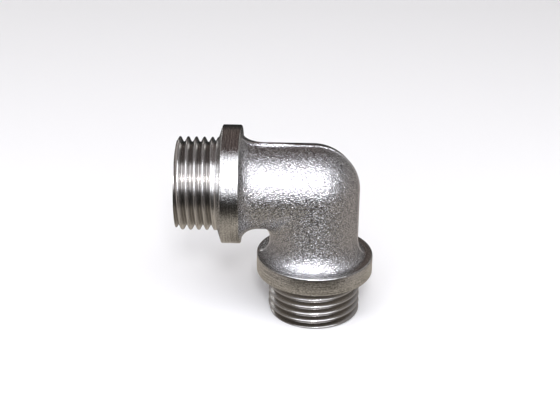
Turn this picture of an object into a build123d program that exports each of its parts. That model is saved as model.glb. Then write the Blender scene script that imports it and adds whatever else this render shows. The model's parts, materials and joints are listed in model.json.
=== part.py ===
from build123d import *
import math
import os

# A right-angled pipe fitting with a male thread at both ends, forged as one piece and then turned.
# All sizes are in millimetres. The elbow stands on its lower end: +Z is up, the lower leg's axis
# is the Z axis and the side leg points towards -X. The origin is the middle of the lower end face.

# The thread is a half inch parallel pipe thread, 14 turns to the inch, the same on both ends.
# Its turns are cut into a plain shank of the major diameter. The chamfer leaves an end face wide
# enough for the elbow to stand on by itself.
thread_major_diameter = 20.955
thread_length = 9.4
end_chamfer = 0.5

# Each end, from its face to the back of its collar, is turned true to its bore.
collar_diameter = 26.6
collar_width = 4.25
collar_cone_length = 0.9
collar_chamfer = 0.4

# The neck between the collars is left as it was forged, a little nearer to the inside of the bend.
# It swells into each collar along a curve that starts straight and ends flat on the collar's back,
# where it leaves a narrow flat ring. The free length runs from the inside of the bend to the collar.
neck_diameter = 19.5
neck_free_length = 6.7
forging_shift = 0.3
shoulder_length = 3.6
collar_back_flat = 0.15
bend_fillet = 2.4

# The waterway is drilled from both ends, and the points of the drill meet past the middle of the bend.
bore_diameter = 15.0
bore_chamfer = 0.5
drill_point_angle = 118

thread_radius = thread_major_diameter / 2
collar_radius = collar_diameter / 2
neck_radius = neck_diameter / 2
bore_radius = bore_diameter / 2

# Distances along a leg are measured from the middle of the bend.
collar_back = neck_radius + forging_shift + neck_free_length
collar_front = collar_back + collar_width
cone_foot = collar_front + collar_cone_length
leg_length = cone_foot + thread_length

# The forging is nearest to the collar's chamfer on the inside of the bend.
shoulder_radius = collar_radius - collar_chamfer - collar_back_flat - forging_shift

# A shape made for the lower leg, which hangs down from the bend, is turned to make the side leg.
TO_SIDE_LEG = Rot(0, 90, 0)


def turned_end():
    """Threaded shank and collar of the lower leg, as one revolved profile."""
    outline = Polyline(
        (0, 0, -collar_back),
        (collar_radius - collar_chamfer, 0, -collar_back),
        (collar_radius, 0, -collar_back - collar_chamfer),
        (collar_radius, 0, -collar_front),
        (thread_radius, 0, -cone_foot),
        (thread_radius, 0, end_chamfer - leg_length),
        (thread_radius - end_chamfer, 0, -leg_length),
        (0, 0, -leg_length),
        close=True,
    )
    return revolve(make_face(outline), Axis.Z)


def forged_leg():
    """Neck of the lower leg with its swelling shoulder, on its own axis, reaching into the collar."""
    top = forging_shift - collar_back
    shoulder_top = top + shoulder_length
    foot = top - collar_width / 2
    curve = Bezier((shoulder_radius, 0, top), (neck_radius, 0, top), (neck_radius, 0, shoulder_top))
    sides = Polyline(
        (shoulder_radius, 0, top),
        (shoulder_radius, 0, foot),
        (0, 0, foot),
        (0, 0, 0),
        (neck_radius, 0, 0),
        (neck_radius, 0, shoulder_top),
    )
    return revolve(make_face([*curve.edges(), *sides.edges()]), Axis.Z)


def forging():
    """Two legs that meet in a ball outside the bend, with a small fillet where they meet inside it."""
    leg = forged_leg()
    raw = leg + TO_SIDE_LEG * leg + Sphere(neck_radius)
    inside_bend = raw.edges().filter_by(GeomType.ELLIPSE)
    return Pos(-forging_shift, 0, -forging_shift) * fillet(inside_bend, bend_fillet)


def waterway():
    """Two drillings with a chamfered mouth and the cone that the drill's point leaves."""
    mouth_radius = bore_radius + bore_chamfer
    point_height = bore_radius / math.tan(math.radians(drill_point_angle / 2))
    outline = Polyline(
        (0, 0, point_height),
        (bore_radius, 0, 0),
        (bore_radius, 0, bore_chamfer - leg_length),
        (mouth_radius, 0, -leg_length),
        (0, 0, -leg_length),
        close=True,
    )
    drilling = revolve(make_face(outline), Axis.Z)
    return drilling + TO_SIDE_LEG * drilling


end = turned_end()
body = forging() + end + TO_SIDE_LEG * end - waterway()
body = Pos(0, 0, leg_length) * body
body.label = "elbow_body"

os.makedirs("parts", exist_ok=True)
export_step(body, "parts/elbow_body.step")
box = body.bounding_box()
print("solids", len(body.solids()), "faces", len(body.faces()), "volume", round(body.volume, 1))
print("box", box.min, box.max)
print("centre of mass", body.center(CenterOf.MASS))
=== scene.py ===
# %% [markdown]
# # A forged elbow fitting for half inch pipe
#
# This lesson dresses one pipe elbow: a right-angled piece of plated metal with a male thread at both
# ends. The real one is hot forged between two dies, then drilled and turned at both ends, and plated
# last. The solid that comes with the lesson has its true form, with plain shanks where the threads
# are. Here the surface gets its cut threads, its rounded edges and its finishes.
#
# We start by loading that solid. It is the frame that everything else is measured from, in metres.

# %% Load the elbow's solid
import json
import math

import bmesh
import bpy
import numpy as np
from mathutils import Matrix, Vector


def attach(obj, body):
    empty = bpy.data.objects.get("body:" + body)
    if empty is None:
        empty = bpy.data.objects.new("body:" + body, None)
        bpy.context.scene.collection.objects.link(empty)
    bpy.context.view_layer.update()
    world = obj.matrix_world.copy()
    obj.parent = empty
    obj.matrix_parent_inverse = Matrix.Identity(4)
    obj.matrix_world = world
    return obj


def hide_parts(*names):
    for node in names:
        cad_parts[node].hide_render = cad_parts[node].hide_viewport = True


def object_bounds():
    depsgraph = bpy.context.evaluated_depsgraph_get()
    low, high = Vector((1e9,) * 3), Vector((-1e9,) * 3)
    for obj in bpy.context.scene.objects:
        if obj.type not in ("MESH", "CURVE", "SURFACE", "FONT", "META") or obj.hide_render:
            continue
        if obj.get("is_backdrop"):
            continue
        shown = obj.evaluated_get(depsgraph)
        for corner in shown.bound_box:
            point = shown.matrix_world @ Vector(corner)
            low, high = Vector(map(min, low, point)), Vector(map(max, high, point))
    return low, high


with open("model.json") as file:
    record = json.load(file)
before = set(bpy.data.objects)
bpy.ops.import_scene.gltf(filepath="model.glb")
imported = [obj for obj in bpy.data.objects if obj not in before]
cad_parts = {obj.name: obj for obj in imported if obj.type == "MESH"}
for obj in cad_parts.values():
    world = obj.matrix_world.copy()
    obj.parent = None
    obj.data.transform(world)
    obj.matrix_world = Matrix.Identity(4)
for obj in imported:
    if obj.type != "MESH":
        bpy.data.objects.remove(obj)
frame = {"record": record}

MM = 0.001
cad_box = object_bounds()
print("the solid's box in mm:", [[round(value / MM, 2) for value in corner] for corner in cad_box])

# %% [markdown]
# ## The camera
#
# The photograph was taken from a little above the elbow, with a long lens. An outline fit gave the
# angle, the distance and the lens. Putting the camera first means that every later choice is judged
# in the right view. A camera looks along its own -Z, so its matrix is made of three directions:
# right, up and back, where back points from the elbow to the camera.

# %% Put the camera where the photograph was taken from
CAMERA_AZIMUTH = math.radians(1.16)
CAMERA_ELEVATION = math.radians(25.92)
CAMERA_ROLL = math.radians(0.64)
CAMERA_DISTANCE = 288.1 * MM
CAMERA_LENS = 81.84
NEAREST_SEEN = 0.01
FURTHEST_SEEN = 20.0
AIM = np.array([-8.08, 0.0, 25.0]) * MM


def camera_axes(azimuth, elevation, roll):
    """Right, up and back of a camera that circles the Z axis. Back has the elevation's sine as its
    height, right is level, up is their cross product, and roll turns right and up about back."""
    level = math.cos(elevation)
    back = np.array([math.sin(azimuth) * level, -math.cos(azimuth) * level, math.sin(elevation)])
    right = np.array([math.cos(azimuth), math.sin(azimuth), 0.0])
    up = np.cross(back, right)
    rolled_right = right * math.cos(roll) + up * math.sin(roll)
    rolled_up = up * math.cos(roll) - right * math.sin(roll)
    return rolled_right, rolled_up, back


right, up, back = camera_axes(CAMERA_AZIMUTH, CAMERA_ELEVATION, CAMERA_ROLL)
camera = bpy.data.objects.new("camera", bpy.data.cameras.new("camera"))
camera.data.lens = CAMERA_LENS
camera.data.clip_start = NEAREST_SEEN
camera.data.clip_end = FURTHEST_SEEN
camera.matrix_world = Matrix(np.column_stack([right, up, back]).tolist()).to_4x4()
camera.location = AIM + back * CAMERA_DISTANCE
bpy.context.scene.collection.objects.link(camera)
bpy.context.scene.camera = camera
print("camera in mm:", [round(value / MM, 1) for value in camera.location])

# %% [markdown]
# ## One grid for the whole skin
#
# The elbow is a single piece, so its skin is a single closed surface. We could cut shapes out of
# each other, but that leaves long thin faces that shade badly. Instead each leg is a grid: its rows
# are rings round the leg and its columns run along it, over the outside, round the open end and back
# through the waterway. The two grids meet in the plane half way round the bend.
#
# A point of a leg has three numbers. Along is the distance from the middle of the bend towards the
# open end, out points away from the inside of the bend, and across is level and square to both.
# The columns stand closer together at the outermost and innermost lines, where the skin has its
# finest detail: a share of the sine of twice the angle is taken off evenly spread angles.

# %% Sizes that come from the record
mounts = {mount["name"]: mount for mount in frame["record"]["mounts"]}
LEG_LENGTH = mounts["side_end"]["pos_m"][2]
THREAD_RADIUS = mounts["side_thread"]["dims"]["r_mm"] * MM
BORE_RADIUS = mounts["side_bore"]["dims"]["r_mm"] * MM
MOUTH_CHAMFER = LEG_LENGTH - mounts["side_bore"]["dims"]["length_mm"] * MM
print("leg", LEG_LENGTH, "thread radius", THREAD_RADIUS, "bore radius", BORE_RADIUS)

# %% Angles round a leg and the rings drawn with them
COLUMNS = 216
CROWDING = 0.3
even = np.linspace(0, 2 * math.pi, COLUMNS + 1)
angle = even - CROWDING * np.sin(2 * even)
outwards = np.cos(angle)
sideways = np.sin(angle)


def rings(along, radius, shift=0.0):
    """Rings round a leg, one row each. Out is the radius times the cosine of the angle, plus the
    shift; across is the radius times the sine. Along and radius may each be one number, a column
    with one number a row, or a grid with one for every point."""
    rows = np.broadcast_arrays(along, radius * outwards + shift, radius * sideways)
    return np.stack(rows, axis=-1)


def column(values):
    """A list of numbers as an array with one row each, so that it spreads over the angles."""
    return np.reshape(np.asarray(values, float), (-1, 1))


spacing = np.degrees(np.diff(angle))
print("columns stand", round(spacing.min(), 2), "to", round(spacing.max(), 2), "degrees apart")

# %% [markdown]
# ## The bend
#
# The forging's neck is round. Outside the bend it runs over a ball, and inside it the two legs meet
# in a small fillet that the forging die needs to let the piece go. Both are the same rule here: a
# line of the neck lies a distance d out from the middle, and turns the corner on an arc. Outside,
# the arc's radius is a little more than d, which makes a slightly flattened ball; inside, it is the
# fillet, which fades to nothing at the sides. The forging sits 0.3 millimetres off the turned ends,
# towards the inside of the bend, as a real one does when it isn't clamped quite true.
#
# Two dies met in the plane of both legs. The metal squeezed out between them, the flash, was trimmed
# off, and a low smooth ridge is left along the outermost and innermost lines. In the photograph it
# draws a thin bright line along the top of the neck, which widens towards the side collar.

# %% Rows from the middle of the bend to the start of the neck
NECK_RADIUS = 9.75 * MM
BEND_FILLET = 2.5 * MM
BALL_FLATNESS = 1.05
SOFTEST_ARC = 0.35 * MM
FORGING_SHIFT = 0.3 * MM
FLASH_HEIGHT = 0.36 * MM
FLASH_WIDTH = 0.32 * MM
BEND_ROWS = 16


def flash_ridge(height, width):
    """The height times a bell curve of the distance across, which falls to a third at the width."""
    return height * np.exp(-((NECK_RADIUS * sideways / width) ** 2))


ridge = flash_ridge(FLASH_HEIGHT, FLASH_WIDTH)


def bend_rows():
    """Quarter turns cut in half. The arc's centre lies at d minus its radius on both axes, so a
    point at turn t from the middle of the bend is that centre plus the radius times (cosine, sine)
    of 45 to 90 degrees. The ridge is added to the neck's radius before that, and the arc's radius
    never falls below the softest arc, by the root of the sum of both squares."""
    lift = (NECK_RADIUS + ridge) * outwards
    arc = np.where(outwards > 0, BALL_FLATNESS * lift, -BEND_FILLET * outwards)
    arc = np.hypot(arc, SOFTEST_ARC)
    turn = column(np.linspace(math.pi / 4, math.pi / 2, BEND_ROWS))
    along = arc - lift - arc * np.cos(turn) + FORGING_SHIFT
    out = lift - arc + arc * np.sin(turn) - FORGING_SHIFT
    across = NECK_RADIUS * sideways
    return np.stack(np.broadcast_arrays(along, out, across), axis=-1)


bend = bend_rows()
print("bend rows", bend.shape, "furthest out in mm", round(bend[..., 1].max() / MM, 3))

# %% [markdown]
# ## Swelling and collar
#
# The neck swells into each collar. Outside the bend the swelling is low and long and leaves a flat
# step below the collar's rim; inside it is a round hollow that reaches the rim. So we draw the
# section twice, once for each side, with the same number of points, and mix the two by the angle.
# The collar itself was turned on a lathe and is the same all round. Every edge gets a small round,
# because a real edge always has one, and it is the round that catches the light.

# %% Rounded corners for any section
ARC_STEPS = 6


def rounded(points, radii):
    """A section through the points (along, radius), where each inner corner with a radius becomes an
    arc of that radius, tangent to both sides. The arc starts at the radius times the tangent of half
    the turn before the corner, and its points are the arc's centre plus turned copies of its spoke."""
    points = np.asarray(points, float)
    section = [points[:1]]
    for before, corner, after, radius in zip(points, points[1:], points[2:], radii):
        arriving = (corner - before) / np.linalg.norm(corner - before)
        leaving = (after - corner) / np.linalg.norm(after - corner)
        turn = math.atan2(arriving[0] * leaving[1] - arriving[1] * leaving[0], arriving @ leaving)
        start = corner - arriving * radius * math.tan(abs(turn) / 2)
        inward = np.array([-arriving[1], arriving[0]]) * math.copysign(radius, turn)
        steps = np.linspace(0, turn, ARC_STEPS + 1)
        cosine, sine = column(np.cos(steps)), column(np.sin(steps))
        spoke = -inward
        section.append(start + inward + cosine * spoke + sine * np.array([-spoke[1], spoke[0]]))
    section.append(points[-1:])
    return np.concatenate(section)


print("a rounded corner has", ARC_STEPS + 1, "points")

# %% The sections of the swelling and the collar
COLLAR_RADIUS = 13.29 * MM
COLLAR_BACK = 16.75 * MM
COLLAR_FRONT = 21.0 * MM
CONE_FOOT = 21.9 * MM
PLAIN_STRIP = 0.1 * MM
THREAD_START = CONE_FOOT + PLAIN_STRIP
FRONT_ROUND = 0.3 * MM
CONE_FOOT_ROUND = 0.12 * MM
SWELLING_STEPS = 14
OUTER_SWELLING = {"start": 11.9 * MM, "height": 2.15 * MM}
INNER_SWELLING = {"start": 13.1 * MM, "height": 3.0 * MM}
OUTER_COLLAR = {"back_start": 11.65 * MM, "back_round": 0.45 * MM}
INNER_COLLAR = {"back_start": 13.06 * MM, "back_round": 0.2 * MM}


def swelling_section(start, height):
    """A quarter of an ellipse that leaves the neck level and ends square to it on the collar's back:
    along grows with the sine of the turn, and the radius with one minus its cosine."""
    turn = np.linspace(0, math.pi / 2, SWELLING_STEPS)
    along = start + (COLLAR_BACK - start) * np.sin(turn)
    return np.stack([along, NECK_RADIUS + height * (1 - np.cos(turn))], axis=-1)


def collar_section(back_start, back_round):
    """The collar's back, rim and cone, from the radius where its flat back starts to the thread."""
    corners = [
        (COLLAR_BACK, back_start),
        (COLLAR_BACK, COLLAR_RADIUS),
        (COLLAR_FRONT, COLLAR_RADIUS),
        (CONE_FOOT, THREAD_RADIUS),
        (THREAD_START, THREAD_RADIUS),
    ]
    return rounded(corners, [back_round, FRONT_ROUND, CONE_FOOT_ROUND])


def mixed(outer_section, inner_section):
    """One section for each angle: the outer one's share is half of one plus the angle's cosine."""
    share = (1 + outwards) / 2
    pair = outer_section[:, None] * share[:, None] + inner_section[:, None] * (1 - share[:, None])
    return pair[..., 0], pair[..., 1]


swelling_along, swelling_radius = mixed(
    swelling_section(**OUTER_SWELLING), swelling_section(**INNER_SWELLING)
)
collar = rings(*mixed(collar_section(**OUTER_COLLAR), collar_section(**INNER_COLLAR)))
print("swelling", swelling_radius.shape, "collar", collar.shape)

# %% [markdown]
# ### The flash on the neck
#
# Along the neck the trimmed ridge doesn't keep its size. In the photograph its bright line widens
# towards the side collar, so on that leg it grows higher and wider, and then sinks into the swelling.
# On the lower leg it only sinks. It grows by a smooth step, which starts and stops level and so
# leaves no crease where it begins.

# %% Neck and swelling, with the ridge on them
NECK_ROWS = 9
SIDE_FLASH = (0.78 * MM, 0.72 * MM)
LOWER_FLASH = (FLASH_HEIGHT, FLASH_WIDTH)


def smooth_step(share):
    """Three times the share's square minus twice its cube: level at 0 and at 1."""
    return share * share * (3 - 2 * share)


def neck_rows(flash_height, flash_width):
    """Rows from the bend to the collar's back. Along the outermost line the ridge grows by a smooth
    step to the height and width given, and then sinks evenly into the swelling."""
    share = column(np.linspace(0, 1, NECK_ROWS + 2)[1:-1])
    growth = np.where(outwards > 0, smooth_step(share), 0)
    growing = flash_ridge(
        FLASH_HEIGHT + (flash_height - FLASH_HEIGHT) * growth,
        FLASH_WIDTH + (flash_width - FLASH_WIDTH) * growth,
    )
    along = bend[-1, :, 0] * (1 - share) + swelling_along[0] * share
    neck = rings(along, NECK_RADIUS + growing, -FORGING_SHIFT)
    full = np.where(outwards > 0, flash_ridge(flash_height, flash_width), ridge)
    sinking = full * column(np.linspace(1, 0, SWELLING_STEPS))
    swelling = rings(swelling_along, swelling_radius + sinking, -FORGING_SHIFT)
    return np.concatenate([neck, swelling])


side_neck = neck_rows(*SIDE_FLASH)
lower_neck = neck_rows(*LOWER_FLASH)
print("neck rows", side_neck.shape, "highest ridge in mm", SIDE_FLASH[0] / MM)

# %% [markdown]
# ## The thread
#
# This is a parallel pipe thread of 14 turns to the inch. Its flanks stand at 55 degrees, and crests
# and roots are rounded with the same radius; depth and radius are fixed shares of the pitch. A screw
# modifier could wind it, but then its ends stay open. Here the rows of the grid are not level rings:
# they climb with the angle by one pitch a turn, so each row stays on its own line of the profile,
# such as the crest or the root, and the shape is exact with few rows. The rows are counted from the
# last crest on the outermost line, and those that would run past an end of the thread are held at it.

# %% The thread's profile
MM_PER_INCH = 25.4
TURNS_PER_INCH = 14
PITCH = MM_PER_INCH / TURNS_PER_INCH * MM
THREAD_DEPTH = 0.640327 * PITCH
CREST_ROUND = 0.137329 * PITCH
FLANK = math.radians(27.5)
RUN_OUT = 0.9 * MM
END_CHAMFER = 0.5 * MM
THREAD_END = LEG_LENGTH - END_CHAMFER


def thread_depth(place):
    """Depth below the crest at a place along the profile, where whole pitches are crests. Near a
    crest it is the round's sagitta, then the flank's straight slope; the root is the same upside
    down, so past the middle of the flank the depth is the whole depth minus the mirrored one."""
    from_crest = np.abs((place / PITCH + 0.5) % 1 - 0.5) * PITCH
    near = np.minimum(from_crest, PITCH / 2 - from_crest)
    edge_of_round = CREST_ROUND * math.cos(FLANK)
    sagitta = CREST_ROUND - np.sqrt(np.maximum(CREST_ROUND**2 - near**2, 0))
    slope = CREST_ROUND * (1 - math.sin(FLANK)) + (near - edge_of_round) / math.tan(FLANK)
    drop = np.where(near < edge_of_round, sagitta, slope)
    return np.where(from_crest < PITCH / 4, drop, THREAD_DEPTH - drop)


def thread_radius(along, place):
    """The crest's radius minus the depth, which fades in over the run-out beside the collar by a
    smooth step, and never more than the chamfer's 45 degree line allows at the open end."""
    fade = smooth_step(np.clip((along - THREAD_START) / RUN_OUT, 0, 1))
    chamfer = THREAD_RADIUS - END_CHAMFER + (LEG_LENGTH - along)
    return np.minimum(THREAD_RADIUS - thread_depth(place) * fade, chamfer)


print("thread depth in mm", round(THREAD_DEPTH / MM, 3))
print("turns", round((THREAD_END - THREAD_START) / PITCH, 2))

# %% The thread's climbing rows
LAST_CREST = LEG_LENGTH - 0.76 * MM
ROUND_ROWS = 7
SPARE_TURNS = 2
CHAMFER_ROWS = 9
RIM_ROWS = 4
RIM_ROUND = 0.06 * MM


def climb(hand):
    """The pitch times the share of a turn at each angle, with the sign of the thread's hand."""
    return hand * PITCH * angle / (2 * math.pi)


def thread_rows(hand):
    """Climbing rows, and their places along the profile. The places in a pitch follow the round of
    the crest and of the root in equal turns, with one more on each flank. A row's along is its place
    plus the last crest's plus the climb, held between cone and chamfer."""
    around = CREST_ROUND * np.sin(np.linspace(FLANK - math.pi / 2, math.pi / 2 - FLANK, ROUND_ROWS))
    in_pitch = np.concatenate([around, [PITCH / 4], around + PITCH / 2, [3 * PITCH / 4]])
    first = math.floor((THREAD_START - LAST_CREST) / PITCH) - SPARE_TURNS
    last = math.ceil((THREAD_END - LAST_CREST) / PITCH) + SPARE_TURNS
    turns = column(np.arange(first, last)) * PITCH
    place = column((turns + in_pitch).ravel())
    along = np.clip(place + LAST_CREST + climb(hand), THREAD_START, THREAD_END)
    moving = np.ptp(along, axis=1) > 0
    along = along[moving]
    return along, along - LAST_CREST - climb(hand)


def threaded(hand):
    """Climbing rows of the thread, then level rows over the chamfer with the same profile, then a
    quarter round at the rim: along grows with the turn's sine, the radius shrinks to its cosine."""
    along, place = thread_rows(hand)
    cut = rings(along, thread_radius(along, place))
    level = column(np.linspace(THREAD_END, LEG_LENGTH - RIM_ROUND, CHAMFER_ROWS)) + 0 * angle
    tip_radius = thread_radius(level, level - LAST_CREST - climb(hand))
    turn = column(np.linspace(0, math.pi / 2, RIM_ROWS + 1)[1:])
    rim_along = level[-1] + RIM_ROUND * np.sin(turn)
    rim_radius = tip_radius[-1] - RIM_ROUND * (1 - np.cos(turn))
    return np.concatenate([cut, rings(level, tip_radius), rings(rim_along, rim_radius)])


side_thread = threaded(1)
lower_thread = threaded(-1)
print("thread rows", side_thread.shape, lower_thread.shape)

# %% [markdown]
# ## The open end and the waterway
#
# The end is a flat ring, and where the thread's groove runs out into it the ring is narrower. The
# waterway is drilled from both ends, and each drill leaves a cone where its point stopped. In the
# plane half way round the bend, a drilling's wall inside the bend simply stops, while outside it the
# cone narrows until it meets the other drill's cone.

# %% Rows over the end face and back through the drilling
DRILL_POINT = math.radians(118)
POINT_HEIGHT = BORE_RADIUS / math.tan(DRILL_POINT / 2)
MOUTH_ROUND = 0.08 * MM
MOUTH_LAND = 0.3 * MM
MOUTH_DEPTH = 3 * MM
FACE_ROWS = 3
WALL_ROWS = 8
POINT_ROWS = 6


def end_rows(rim_radius):
    """The flat ring runs from the rim's radius at each angle to a land round the mouth, mixed by a
    share, and the chamfer of the drilling's mouth follows as a section with rounded corners."""
    mouth_radius = BORE_RADIUS + MOUTH_CHAMFER
    land_radius = mouth_radius + MOUTH_LAND
    share = column(np.linspace(0, 1, FACE_ROWS + 2)[1:-1])
    flat = rings(LEG_LENGTH, rim_radius * (1 - share) + land_radius * share)
    corners = [
        (LEG_LENGTH, land_radius),
        (LEG_LENGTH, mouth_radius),
        (LEG_LENGTH - MOUTH_CHAMFER, BORE_RADIUS),
        (LEG_LENGTH - MOUTH_DEPTH, BORE_RADIUS),
    ]
    section = rounded(corners, [MOUTH_ROUND, MOUTH_ROUND])
    return np.concatenate([flat, rings(section[:, :1], section[:, 1:])])


def drilling_rows():
    """The wall runs to the drill's shoulder, or inside the bend to where along equals minus out. Past
    the shoulder the radius shrinks in proportion to the way left to the point, up to the plane
    where both cones meet: there the way is out over one plus out over the point's height."""
    out = BORE_RADIUS * outwards
    wall_end = np.maximum(0, -out)
    share = column(np.linspace(0, 1, WALL_ROWS + 1)[1:])
    wall = (LEG_LENGTH - MOUTH_DEPTH) * (1 - share) + wall_end * share
    way = np.maximum(0, out) / (1 + np.maximum(0, out) / POINT_HEIGHT)
    past = way * column(np.linspace(0, 1, POINT_ROWS + 1)[1:])
    tip = rings(wall_end - past, BORE_RADIUS * (1 - past / POINT_HEIGHT))
    return np.concatenate([rings(wall, BORE_RADIUS), tip])


drilling = drilling_rows()
print("drilling rows", drilling.shape)

# %% [markdown]
# ## Sewing the skin
#
# Each leg's rows are stacked into one grid. The side leg takes along as minus X and out as Z, and
# the lower leg takes along as minus Z and out as X. That swap is a mirror, so the lower leg's faces
# are listed the other way round, or they would point inwards. The thread's hand changes too, so that
# both threads are cut right-handed.
#
# The grid also gives a UV map, with one number round the leg and one along the section in
# millimetres. The lathe's marks will follow it. Two numbers are stored at each point for the finishes:
# groove, how deep it lies in the thread, and ground, how near it is to the trimmed flash. The lower
# thread, on which the elbow stands, gets painted shade: its groove starts higher, so its colour is
# darker.

# %% Both legs as points, with the finish of each row
FORGED, TURNED, THREADED, DRILLED = range(4)


def leg_grid(neck, thread):
    """All rows of one leg, and for each row the finish of the faces that follow it. The end face
    starts at the radius where the thread's rim ends at each angle."""
    rim_radius = np.hypot(thread[-1, :, 1], thread[-1, :, 2])
    parts = [
        (bend, FORGED),
        (neck, FORGED),
        (collar, TURNED),
        (thread, THREADED),
        (end_rows(rim_radius), TURNED),
        (drilling, DRILLED),
    ]
    grid = np.concatenate([rows for rows, finish in parts])
    finish = np.concatenate([np.full(len(rows), finish) for rows, finish in parts])
    return grid, finish


side_grid, side_finish = leg_grid(side_neck, side_thread)
lower_grid, lower_finish = leg_grid(lower_neck, lower_thread)
side_xyz = np.stack([-side_grid[..., 0], side_grid[..., 2], side_grid[..., 1]], axis=-1)
lower_xyz = np.stack([lower_grid[..., 1], lower_grid[..., 2], -lower_grid[..., 0]], axis=-1)
points = np.concatenate([side_xyz.reshape(-1, 3), lower_xyz.reshape(-1, 3)])
points[:, 2] += LEG_LENGTH
side_count = side_xyz.shape[0] * side_xyz.shape[1]
print("points:", len(points), "of them on the side leg:", side_count)

# %% Faces and the UV map
def grid_faces(rows, first, mirrored):
    """Four-sided faces between neighbouring rows and columns, as indices from the first vertex."""
    corner = first + np.arange(rows * (COLUMNS + 1)).reshape(rows, COLUMNS + 1)
    ring = [corner[:-1, :-1], corner[:-1, 1:], corner[1:, 1:], corner[1:, :-1]]
    if mirrored:
        ring = ring[::-1]
    return np.stack(ring, axis=-1).reshape(-1, 4)


def around_and_along(grid):
    """The two numbers of the UV map: the share of a turn of each column, and how far each row lies
    along the section of the first column, in millimetres."""
    steps = np.linalg.norm(np.diff(grid[:, 0], axis=0), axis=-1)
    length = np.concatenate([[0], np.cumsum(steps)]) / MM
    pair = np.broadcast_arrays(angle / (2 * math.pi), column(length))
    return np.stack(pair, axis=-1).reshape(-1, 2)


faces = np.concatenate([
    grid_faces(len(side_grid), 0, False),
    grid_faces(len(lower_grid), side_count, True),
])
finishes = np.repeat(np.concatenate([side_finish[:-1], lower_finish[:-1]]), COLUMNS)
uv = np.concatenate([around_and_along(side_grid), around_and_along(lower_grid)])
print("faces:", len(faces), "and the longest section in mm:", round(uv[:, 1].max(), 1))

# %% The mesh, its finishes and the numbers stored at its points
# Painted shade on the lower thread, where the elbow stands in its own shade: this share is added to its
# groove.
LOWER_THREAD_SHADE = 0.36
GROUND_WIDTH = 1.5 * FLASH_WIDTH

mesh = bpy.data.meshes.new("elbow")
mesh.from_pydata(points.tolist(), [], faces.tolist())
mesh.polygons.foreach_set("material_index", finishes.astype(np.int32))
uv_map = mesh.uv_layers.new(name="around_and_along")
uv_map.data.foreach_set("uv", uv[faces.ravel()].astype(np.float32).ravel())


def store(name, values):
    """Keep one number at each point of the mesh, under that name."""
    stored = mesh.attributes.new(name, "FLOAT", "POINT")
    stored.data.foreach_set("value", values.astype(np.float32))


grids = np.concatenate([side_grid.reshape(-1, 3), lower_grid.reshape(-1, 3)])
groove = (THREAD_RADIUS - np.hypot(grids[:, 1], grids[:, 2])) / THREAD_DEPTH
# Painted shade: the lower thread's groove starts higher, so its colour is darker.
groove[side_count:] += LOWER_THREAD_SHADE
store("groove", np.clip(groove, 0, 1))
store("ground", np.exp(-((grids[:, 2] / GROUND_WIDTH) ** 2)))
print("before merging:", len(mesh.vertices), "points and", len(mesh.polygons), "faces")

# %% [markdown]
# ### Closing the skin
#
# Some points of the grid fall together: the last column lies on the first, the two legs meet in the
# plane half way round the bend, and the thread's climbing rows pile up where they are held. Merging
# them by distance closes the skin. Then every edge must have exactly two faces, and the volume must
# be positive, or the faces point inwards.

# %% Merge what falls together and check that the skin is closed
MERGE_DISTANCE = 0.002 * MM

sewn = bmesh.new()
sewn.from_mesh(mesh)
bmesh.ops.remove_doubles(sewn, verts=sewn.verts, dist=MERGE_DISTANCE)
bmesh.ops.dissolve_degenerate(sewn, edges=sewn.edges, dist=MERGE_DISTANCE / 2)
open_edges = sum(not edge.is_manifold for edge in sewn.edges)
print("open or doubled edges:", open_edges)
print("volume in mm3:", round(sewn.calc_volume(signed=True) / MM**3, 1))
print("triangles:", sum(len(face.verts) - 2 for face in sewn.faces))
sewn.to_mesh(mesh)
sewn.free()
mesh.shade_smooth()

elbow = bpy.data.objects.new("elbow", mesh)
bpy.context.scene.collection.objects.link(elbow)
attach(elbow, "root")
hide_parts("elbow_body")

# %% [markdown]
# ## Finishes
#
# The whole piece is plated after it is made, so there is one metal everywhere and only the surface
# under it differs. The forging was blasted with shot, which leaves thousands of small dimples, and
# its colour gets painted shade and light in random specks; the turned faces keep the rings of the
# lathe tool; the thread is cut bright, with painted shade down its flanks and in its roots; the
# drilling is duller. All of it is made from nodes. The finishes need many of them, so one helper
# adds a node and fills its inputs.

# %% Helpers for nodes
def add_node(tree, kind, inputs, **options):
    """Add a node, set its options, and give each input a number or the output that feeds it."""
    node = tree.nodes.new("ShaderNode" + kind)
    for option, value in options.items():
        setattr(node, option, value)
    for socket, value in inputs.items():
        if isinstance(value, bpy.types.NodeSocket):
            tree.links.new(value, node.inputs[socket])
        else:
            node.inputs[socket].default_value = value
    return node


def object_place(tree):
    """Where a point of the surface is on the elbow."""
    return add_node(tree, "TexCoord", {}).outputs["Object"]


def attribute(tree, name):
    """A number stored at each point of the mesh."""
    return add_node(tree, "Attribute", {}, attribute_name=name).outputs["Fac"]


def noise(tree, place, scale, detail=2.0, roughness=0.5):
    """A noise texture that changes about scale times in a metre."""
    inputs = {"Vector": place, "Scale": scale, "Detail": detail, "Roughness": roughness}
    return add_node(tree, "TexNoise", inputs).outputs["Fac"]


def mixed_numbers(tree, share, first, second):
    """The first number where the share is 0 and the second where it is 1."""
    return add_node(tree, "Mix", {0: share, 2: first, 3: second}).outputs[0]


# %% Helpers for relief, colour and metal
def bump(tree, height, distance, below=None, strength=None):
    """Relief of that height in metres, on top of other relief and with a strength if they are given."""
    inputs = {"Height": height, "Distance": distance}
    if below:
        inputs["Normal"] = below
    if strength:
        inputs["Strength"] = strength
    return add_node(tree, "Bump", inputs).outputs["Normal"]


def blend_colours(tree, share, dark, light, start=0.0, end=1.0):
    """The dark colour where the share is at its start and the light one where it is at its end."""
    ramp = add_node(tree, "ValToRGB", {"Fac": share})
    ramp.color_ramp.elements[0].position = start
    ramp.color_ramp.elements[1].position = end
    ramp.color_ramp.elements[0].color = (*dark, 1)
    ramp.color_ramp.elements[1].color = (*light, 1)
    return ramp.outputs["Color"]


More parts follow.
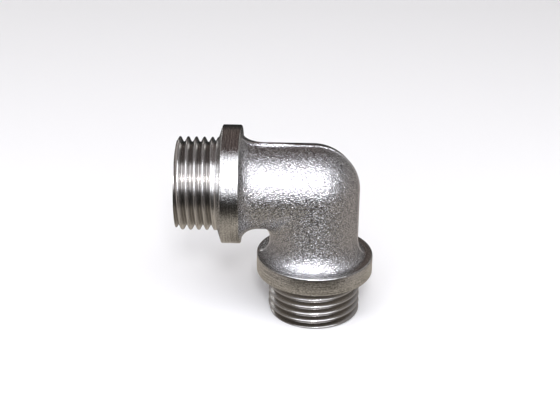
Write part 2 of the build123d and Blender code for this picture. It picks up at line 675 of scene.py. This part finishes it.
def new_metal(name, roughness, colour, relief):
    """Give the elbow one more metal. Its colour and relief come from the functions given, each called
    with the tree. The faces find it by its place in the elbow's list."""
    material = bpy.data.materials.new(name)
    material.use_nodes = True
    tree = material.node_tree
    shader = tree.nodes["Principled BSDF"]
    shader.inputs["Metallic"].default_value = 1
    shader.inputs["Roughness"].default_value = roughness
    tree.links.new(colour(tree), shader.inputs["Base Color"])
    tree.links.new(relief(tree), shader.inputs["Normal"])
    elbow.data.materials.append(material)
    print(name, "with", len(tree.nodes), "nodes")


# %% [markdown]
# ### Blasted plating
#
# Shot thrown at a forging leaves overlapping round dimples about a third of a millimetre across. A
# Voronoi texture's distance is low in the middle of each cell and high between cells, which is the
# section of such a dimple. A little noise breaks up their even size, and slow, shallow waves stand
# for the forging's own uneven skin. Random darker and lighter specks in the colour are painted shade
# and light for the dimples, though they don't follow the dimples' cells. Where the flash was ground
# off, the ground attribute takes the dimples and the specks away.

# %% The blasted forging
DIMPLES_PER_METRE = 3300
WAVES_PER_METRE = 900
GRAINS_PER_METRE = 6400
SPECKS_PER_METRE = 4600
DIMPLE_SOFTNESS = 0.35
DIMPLE_RELIEF = 0.11 * MM
GRAIN_RELIEF = 0.055 * MM
SKIN_RELIEF = 0.06 * MM
ROUGH_GRAIN = 0.6
GROUND_SHARE = 0.64
# The specks' two greys: painted shade and painted light for the dimples.
BLASTED_SPECK_SHADE = (0.27, 0.27, 0.28)
BLASTED_SPECK_LIGHT = (0.96, 0.96, 0.97)
BLASTED_ROUGHNESS = 0.22


def blasted_colour(tree):
    """Grey with random darker and lighter specks, painted shade and light for the dimples, and even
    where it was ground.
    """
    speck = noise(tree, object_place(tree), SPECKS_PER_METRE, detail=1.0)
    share = mixed_numbers(tree, attribute(tree, "ground"), speck, GROUND_SHARE)
    return blend_colours(tree, share, BLASTED_SPECK_SHADE, BLASTED_SPECK_LIGHT, start=0.36, end=0.66)


def blasted_relief(tree):
    """Skin waves, then dimples on them, then a fine grain on the dimples. The last two have a
    strength of one minus the ground attribute."""
    place = object_place(tree)
    ground = attribute(tree, "ground")
    rough = add_node(tree, "Math", {0: 1.0, 1: ground}, operation="SUBTRACT").outputs[0]
    inputs = {"Vector": place, "Scale": DIMPLES_PER_METRE}
    dimples = add_node(tree, "TexVoronoi", inputs, feature="SMOOTH_F1")
    dimples.inputs["Smoothness"].default_value = DIMPLE_SOFTNESS
    skin = bump(tree, noise(tree, place, WAVES_PER_METRE, detail=1.0), SKIN_RELIEF)
    dimpled = bump(tree, dimples.outputs["Distance"], DIMPLE_RELIEF, skin, rough)
    grain = noise(tree, place, GRAINS_PER_METRE, roughness=ROUGH_GRAIN)
    return bump(tree, grain, GRAIN_RELIEF, dimpled, rough)


new_metal("blasted_plating", BLASTED_ROUGHNESS, blasted_colour, blasted_relief)
print("dimples are about", round(1000 / DIMPLES_PER_METRE, 2), "mm across")

# %% [markdown]
# ### Turned plating
#
# A lathe tool leaves a fine groove that runs round and round. The UV map has the turns in one number
# and the millimetres along the section in the other, so noise that is squeezed along the second one
# becomes rings. The plating softens them and adds a light grain of its own.

# %% The turned faces
CHANGES_IN_A_TURN = 7
TURNED_SPECKS_PER_METRE = 4200
PLATING_GRAINS_PER_METRE = 3800
TURNED_DARK = (0.31, 0.305, 0.295)
TURNED_LIGHT = (0.85, 0.85, 0.84)
TURNED_ROUGHNESS = 0.16


def rings_in_the_metal(tree, lines_per_mm):
    """Noise in rings: it changes only a few times in a turn, but as often as there are lines in each
    millimetre of the section."""
    around = add_node(tree, "UVMap", {}, uv_map="around_and_along").outputs["UV"]
    squeeze = {"Vector": around, "Scale": (CHANGES_IN_A_TURN, lines_per_mm, 1)}
    squeezed = add_node(tree, "Mapping", squeeze).outputs["Vector"]
    return noise(tree, squeezed, 1.0, detail=3.0, roughness=ROUGH_GRAIN)


def rings_and_grain(tree, lines_per_mm, ring_relief, grain_relief):
    """Relief of rings under a light grain."""
    ringed = bump(tree, rings_in_the_metal(tree, lines_per_mm), ring_relief)
    grain = noise(tree, object_place(tree), PLATING_GRAINS_PER_METRE, roughness=ROUGH_GRAIN)
    return bump(tree, grain, grain_relief, ringed)


def turned_colour(tree):
    """Grey with slightly darker rings and specks, half and half."""
    specks = noise(tree, object_place(tree), TURNED_SPECKS_PER_METRE, detail=1.0)
    share = mixed_numbers(tree, 0.5, rings_in_the_metal(tree, lines_per_mm=5), specks)
    return blend_colours(tree, share, TURNED_DARK, TURNED_LIGHT, start=0.37, end=0.63)


def turned_relief(tree):
    """The lathe tool's rings, softened by the plating."""
    return rings_and_grain(tree, lines_per_mm=8, ring_relief=0.012 * MM, grain_relief=0.05 * MM)


new_metal("turned_plating", TURNED_ROUGHNESS, turned_colour, turned_relief)

# %% [markdown]
# ### Cut and drilled plating
#
# A thread is bright metal on its crests, and painted shade darkens it down the flanks and in the
# roots. The groove attribute says how deep a point lies, and a ramp turns that into colour. Inside
# the drilling nothing rubs at all: its metal is duller and keeps the drill's coarse rings.

# %% The cut threads and the drilling
CUT_BRIGHT = (0.76, 0.75, 0.74)
# Painted shade down the thread's flanks and in its roots.
CUT_ROOT_SHADE = (0.36, 0.345, 0.33)
CUT_ROUGHNESS = 0.2
DRILLED_DARK = (0.60, 0.59, 0.57)
DRILLED_LIGHT = (0.80, 0.79, 0.77)
DRILLED_ROUGHNESS = 0.42
DRILLED_RELIEF = 0.02 * MM


def cut_colour(tree):
    """Bright metal on the crests, with painted shade down the flanks that is darkest near the roots."""
    return blend_colours(tree, attribute(tree, "groove"), CUT_BRIGHT, CUT_ROOT_SHADE, start=0.3, end=0.97)


def cut_relief(tree):
    """The threading tool's marks, which run along the thread."""
    return rings_and_grain(tree, lines_per_mm=9, ring_relief=0.006 * MM, grain_relief=0.02 * MM)


def drilled_colour(tree):
    """Duller grey with rings."""
    share = rings_in_the_metal(tree, lines_per_mm=3)
    return blend_colours(tree, share, DRILLED_DARK, DRILLED_LIGHT, start=0.3, end=0.7)


def drilled_relief(tree):
    """The drill's rings, which are coarser than the lathe's."""
    return bump(tree, rings_in_the_metal(tree, lines_per_mm=4), DRILLED_RELIEF)


new_metal("cut_plating", CUT_ROUGHNESS, cut_colour, cut_relief)
new_metal("drilled_plating", DRILLED_ROUGHNESS, drilled_colour, drilled_relief)
print("finishes:", [material.name for material in elbow.data.materials])

# %% [markdown]
# ## Floor
#
# The floor is one large pale sheet, as in a catalogue picture. A mirror-like thing shows its
# surroundings, so what the metal sees matters as much as the light. The floor is therefore hidden
# from reflections, and the next step gives the metal a painted reflection of it to see there.

# %% The pale floor
FLOOR_HALF = 2.0
FLOOR_GREY = 0.88
FLOOR_ROUGHNESS = 0.9


def flat_sheet(name, corners, material):
    """A single flat face through the corners, marked as a part of the stage."""
    sheet = bpy.data.objects.new(name, bpy.data.meshes.new(name))
    sheet.data.from_pydata(np.asarray(corners, float).tolist(), [], [tuple(range(len(corners)))])
    sheet.data.materials.append(material)
    bpy.context.scene.collection.objects.link(sheet)
    sheet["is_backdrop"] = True
    return sheet


floor_material = bpy.data.materials.new("pale_floor")
floor_material.use_nodes = True
floor_shader = floor_material.node_tree.nodes["Principled BSDF"]
floor_shader.inputs["Base Color"].default_value = (FLOOR_GREY, FLOOR_GREY, FLOOR_GREY, 1)
floor_shader.inputs["Roughness"].default_value = FLOOR_ROUGHNESS
floor_corners = np.array([(-1, -1, 0), (1, -1, 0), (1, 1, 0), (-1, 1, 0)]) * FLOOR_HALF
floor = flat_sheet("floor", floor_corners, floor_material)
floor.visible_glossy = False
print("floor", 2 * FLOOR_HALF, "m across")

# %% [markdown]
# ### A painted reflection of the floor
#
# A second, smaller sheet lies just above the floor and is seen by reflections only. It glows though
# it is no lamp: a painted reflection of the floor, with a painted shadow near the foot, then warm
# grey, and clear past its edge. So the undersides of the collars are warm, and what looks further
# out is dark, as in the photograph.

# %% The painted reflection of the floor near the foot, seen by the metal only
FLOOR_REFLECTION_RADIUS = 38 * MM
FLOOR_REFLECTION_EDGE = 6 * MM
FLOOR_REFLECTION_HEIGHT = 0.02 * MM
FLOOR_REFLECTION_CORNERS = 48
# The painted shadow reaches from the thread's radius to this one; its colour and the warm grey of the
# painted floor reflection follow.
SHADE_RADIUS = 25 * MM
PAINTED_FOOT_SHADOW_COLOUR = (0.10, 0.085, 0.07)
PAINTED_FLOOR_REFLECTION_COLOUR = (0.44, 0.395, 0.34)


def between(tree, value, low, high):
    """A share that grows from 0 where the value is low to 1 where it is high."""
    inputs = {"Value": value, "From Min": low, "From Max": high}
    return add_node(tree, "MapRange", inputs).outputs["Result"]


def glowing(name):
    """A material that only glows, a painted reflection of the floor: a painted shadow near the foot,
    where the elbow shades the floor, then warm grey, and clear past the painted reflection's radius."""
    material = bpy.data.materials.new(name)
    material.use_nodes = True
    tree = material.node_tree
    tree.nodes.clear()
    place = object_place(tree)
    away = add_node(tree, "VectorMath", {0: place}, operation="LENGTH").outputs["Value"]
    inner_edge, outer_edge = FLOOR_REFLECTION_RADIUS - FLOOR_REFLECTION_EDGE, FLOOR_REFLECTION_RADIUS + FLOOR_REFLECTION_EDGE
    clearness = between(tree, away, inner_edge, outer_edge)
    painted_lit_share = between(tree, away, THREAD_RADIUS, SHADE_RADIUS)
    colour = blend_colours(tree, painted_lit_share, PAINTED_FOOT_SHADOW_COLOUR, PAINTED_FLOOR_REFLECTION_COLOUR)
    glow = add_node(tree, "Emission", {"Color": colour})
    clear = add_node(tree, "BsdfTransparent", {})
    seen = add_node(tree, "MixShader", {0: clearness, 1: glow.outputs[0], 2: clear.outputs[0]})
    add_node(tree, "OutputMaterial", {"Surface": seen.outputs[0]})
    return material


around_foot = np.linspace(0, 2 * math.pi, FLOOR_REFLECTION_CORNERS + 1)[:-1]
disc = np.stack([np.cos(around_foot), np.sin(around_foot), 0 * around_foot], axis=-1)
disc = disc * (FLOOR_REFLECTION_RADIUS + FLOOR_REFLECTION_EDGE) + [0, 0, FLOOR_REFLECTION_HEIGHT]
# A sheet that glows though it is no lamp: the painted floor reflection, hidden from all but glossy rays.
near_floor = flat_sheet("near_floor", disc, glowing("near_floor_in_the_metal"))
for kind in ("camera", "diffuse", "shadow", "transmission", "volume_scatter"):
    setattr(near_floor, "visible_" + kind, False)
print("near floor", round(2 * (FLOOR_REFLECTION_RADIUS + FLOOR_REFLECTION_EDGE) / MM), "mm across")

# %% [markdown]
# ## Light
#
# Two lights make the bright bands. A wide soft box above the camera gives the broad white bands on
# neck and collar, and a small bright lamp in its middle gives the narrow streak down the threads.
# A third, a small card behind and to the left, picks out the back of the lower collar on that side.
# The fourth, from above, brightens the floor only: it is hidden from reflections, and metal has
# nothing else. A flat light's power is its radiance times its area times pi.

# %% Lights
def area_light(name, azimuth, elevation, distance, width, height, radiance, colour=(1, 1, 1)):
    """A light that faces the elbow from that direction, in degrees and metres."""
    lamp = bpy.data.lights.new(name, "AREA")
    lamp.shape = "RECTANGLE"
    lamp.size, lamp.size_y = width, height
    lamp.energy = radiance * width * height * math.pi
    lamp.color = colour
    level, above, away = camera_axes(math.radians(azimuth), math.radians(elevation), 0)
    holder = bpy.data.objects.new(name, lamp)
    holder.matrix_world = Matrix(np.column_stack([level, above, away]).tolist()).to_4x4()
    holder.location = AIM + away * distance
    holder.visible_camera = False
    bpy.context.scene.collection.objects.link(holder)
    print(name, "gives", round(lamp.energy, 2), "W")
    return holder


area_light(
    "front_box", azimuth=0, elevation=43, distance=0.5, width=0.9, height=0.68, radiance=1.9,
    colour=(0.97, 0.98, 1.05),
)
area_light(
    "lamp", azimuth=3, elevation=37, distance=0.45, width=0.07, height=0.07, radiance=55,
    colour=(0.99, 0.99, 1.02),
)
area_light(
    "left_card", azimuth=-150, elevation=27, distance=0.5, width=0.13, height=0.11, radiance=1.5,
)
floor_light = area_light(
    "floor_light", azimuth=0, elevation=80, distance=1.0, width=1.2, height=1.2, radiance=1.0,
    colour=(1, 0.985, 0.96),
)
floor_light.visible_glossy = False

# %% [markdown]
# ## Surroundings
#
# Everything that no light covers is the world. It is drawn with three ramps of colour over the
# elevation, for what lies in front of the elbow, beside it and behind it, and mixed by how far back
# a direction points. The dark brown overhead gives the collar its dark top, and the dark low part
# behind gives the thin dark outlines. Last, the Standard view is chosen, which shows a white as it
# is; the softer one that Blender starts with would turn the bright bands grey.

# %% Three ramps over the elevation in degrees
UNDERFOOT = (0.42, 0.38, 0.33)
OVERHEAD = (0.11, 0.08, 0.075)
IN_FRONT = [
    (-90, UNDERFOOT), (-46, (0.34, 0.31, 0.27)), (-36, (0.045, 0.04, 0.035)),
    (-4, (0.04, 0.038, 0.035)), (4, (0.4, 0.4, 0.43)), (70, (0.4, 0.4, 0.42)), (80, OVERHEAD),
]
BESIDE = [
    (-90, UNDERFOOT), (-20, (0.38, 0.34, 0.32)), (5, (0.30, 0.28, 0.27)),
    (25, (0.29, 0.28, 0.28)), (60, (0.25, 0.24, 0.24)), (80, OVERHEAD),
]
BEHIND = [
    (-90, UNDERFOOT), (-40, (0.16, 0.15, 0.14)), (-20, (0.03, 0.03, 0.03)),
    (14, (0.03, 0.03, 0.03)), (30, (0.16, 0.13, 0.12)), (80, OVERHEAD),
]


def elevation_ramp(tree, height, stops):
    """A ramp over the height of a direction, which is its elevation's sine, from -1 to 1."""
    ramp = add_node(tree, "ValToRGB", {"Fac": between(tree, height, -1.0, 1.0)})
    while len(ramp.color_ramp.elements) < len(stops):
        ramp.color_ramp.elements.new(0.5)
    for element, (elevation, colour) in zip(ramp.color_ramp.elements, stops):
        element.position = (1 + math.sin(math.radians(elevation))) / 2
        element.color = (*colour, 1)
    return ramp.outputs["Color"]


def mixed_colours(tree, share, first, second):
    """The first colour where the share is 0 and the second where it is 1."""
    mix = tree.nodes.new("ShaderNodeMix")
    mix.data_type = "RGBA"
    for socket, value in ((0, share), (6, first), (7, second)):
        tree.links.new(value, mix.inputs[socket])
    return mix.outputs[2]


print("world ramps:", len(IN_FRONT), len(BESIDE), len(BEHIND), "stops")

# %% The world, mixed by how far back a direction points
FRONT_TO_SIDE = (-0.75, -0.45)
SIDE_TO_BACK = (0.87, 0.95)

world = bpy.data.worlds.new("studio")
bpy.context.scene.world = world
world.use_nodes = True
sky = world.node_tree
direction = add_node(sky, "TexCoord", {}).outputs["Generated"]
height = add_node(sky, "SeparateXYZ", {"Vector": direction}).outputs["Z"]
level = add_node(sky, "VectorMath", {0: direction, 1: (1, 1, 0)}, operation="MULTIPLY").outputs[0]
level = add_node(sky, "VectorMath", {0: level}, operation="NORMALIZE").outputs[0]
backward = add_node(sky, "SeparateXYZ", {"Vector": level}).outputs["Y"]
in_front, beside, behind = (elevation_ramp(sky, height, stops) for stops in (IN_FRONT, BESIDE, BEHIND))
colour = mixed_colours(sky, between(sky, backward, *FRONT_TO_SIDE), in_front, beside)
colour = mixed_colours(sky, between(sky, backward, *SIDE_TO_BACK), colour, behind)
sky.links.new(colour, sky.nodes["Background"].inputs["Color"])
bpy.context.scene.view_settings.view_transform = "Standard"
print("world nodes:", len(sky.nodes))

# %% [markdown]
# ## Sizes
#
# Both boxes are printed, the solid's and the dressed elbow's. The dressed elbow must stay inside
# the solid's box.

# %% Print both boxes
dressed_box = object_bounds()
boxes = {"cad": [list(corner) for corner in cad_box], "visual": [list(corner) for corner in dressed_box]}
for name, box in boxes.items():
    print(name, "box in mm:", [[round(value / MM, 3) for value in corner] for corner in box])
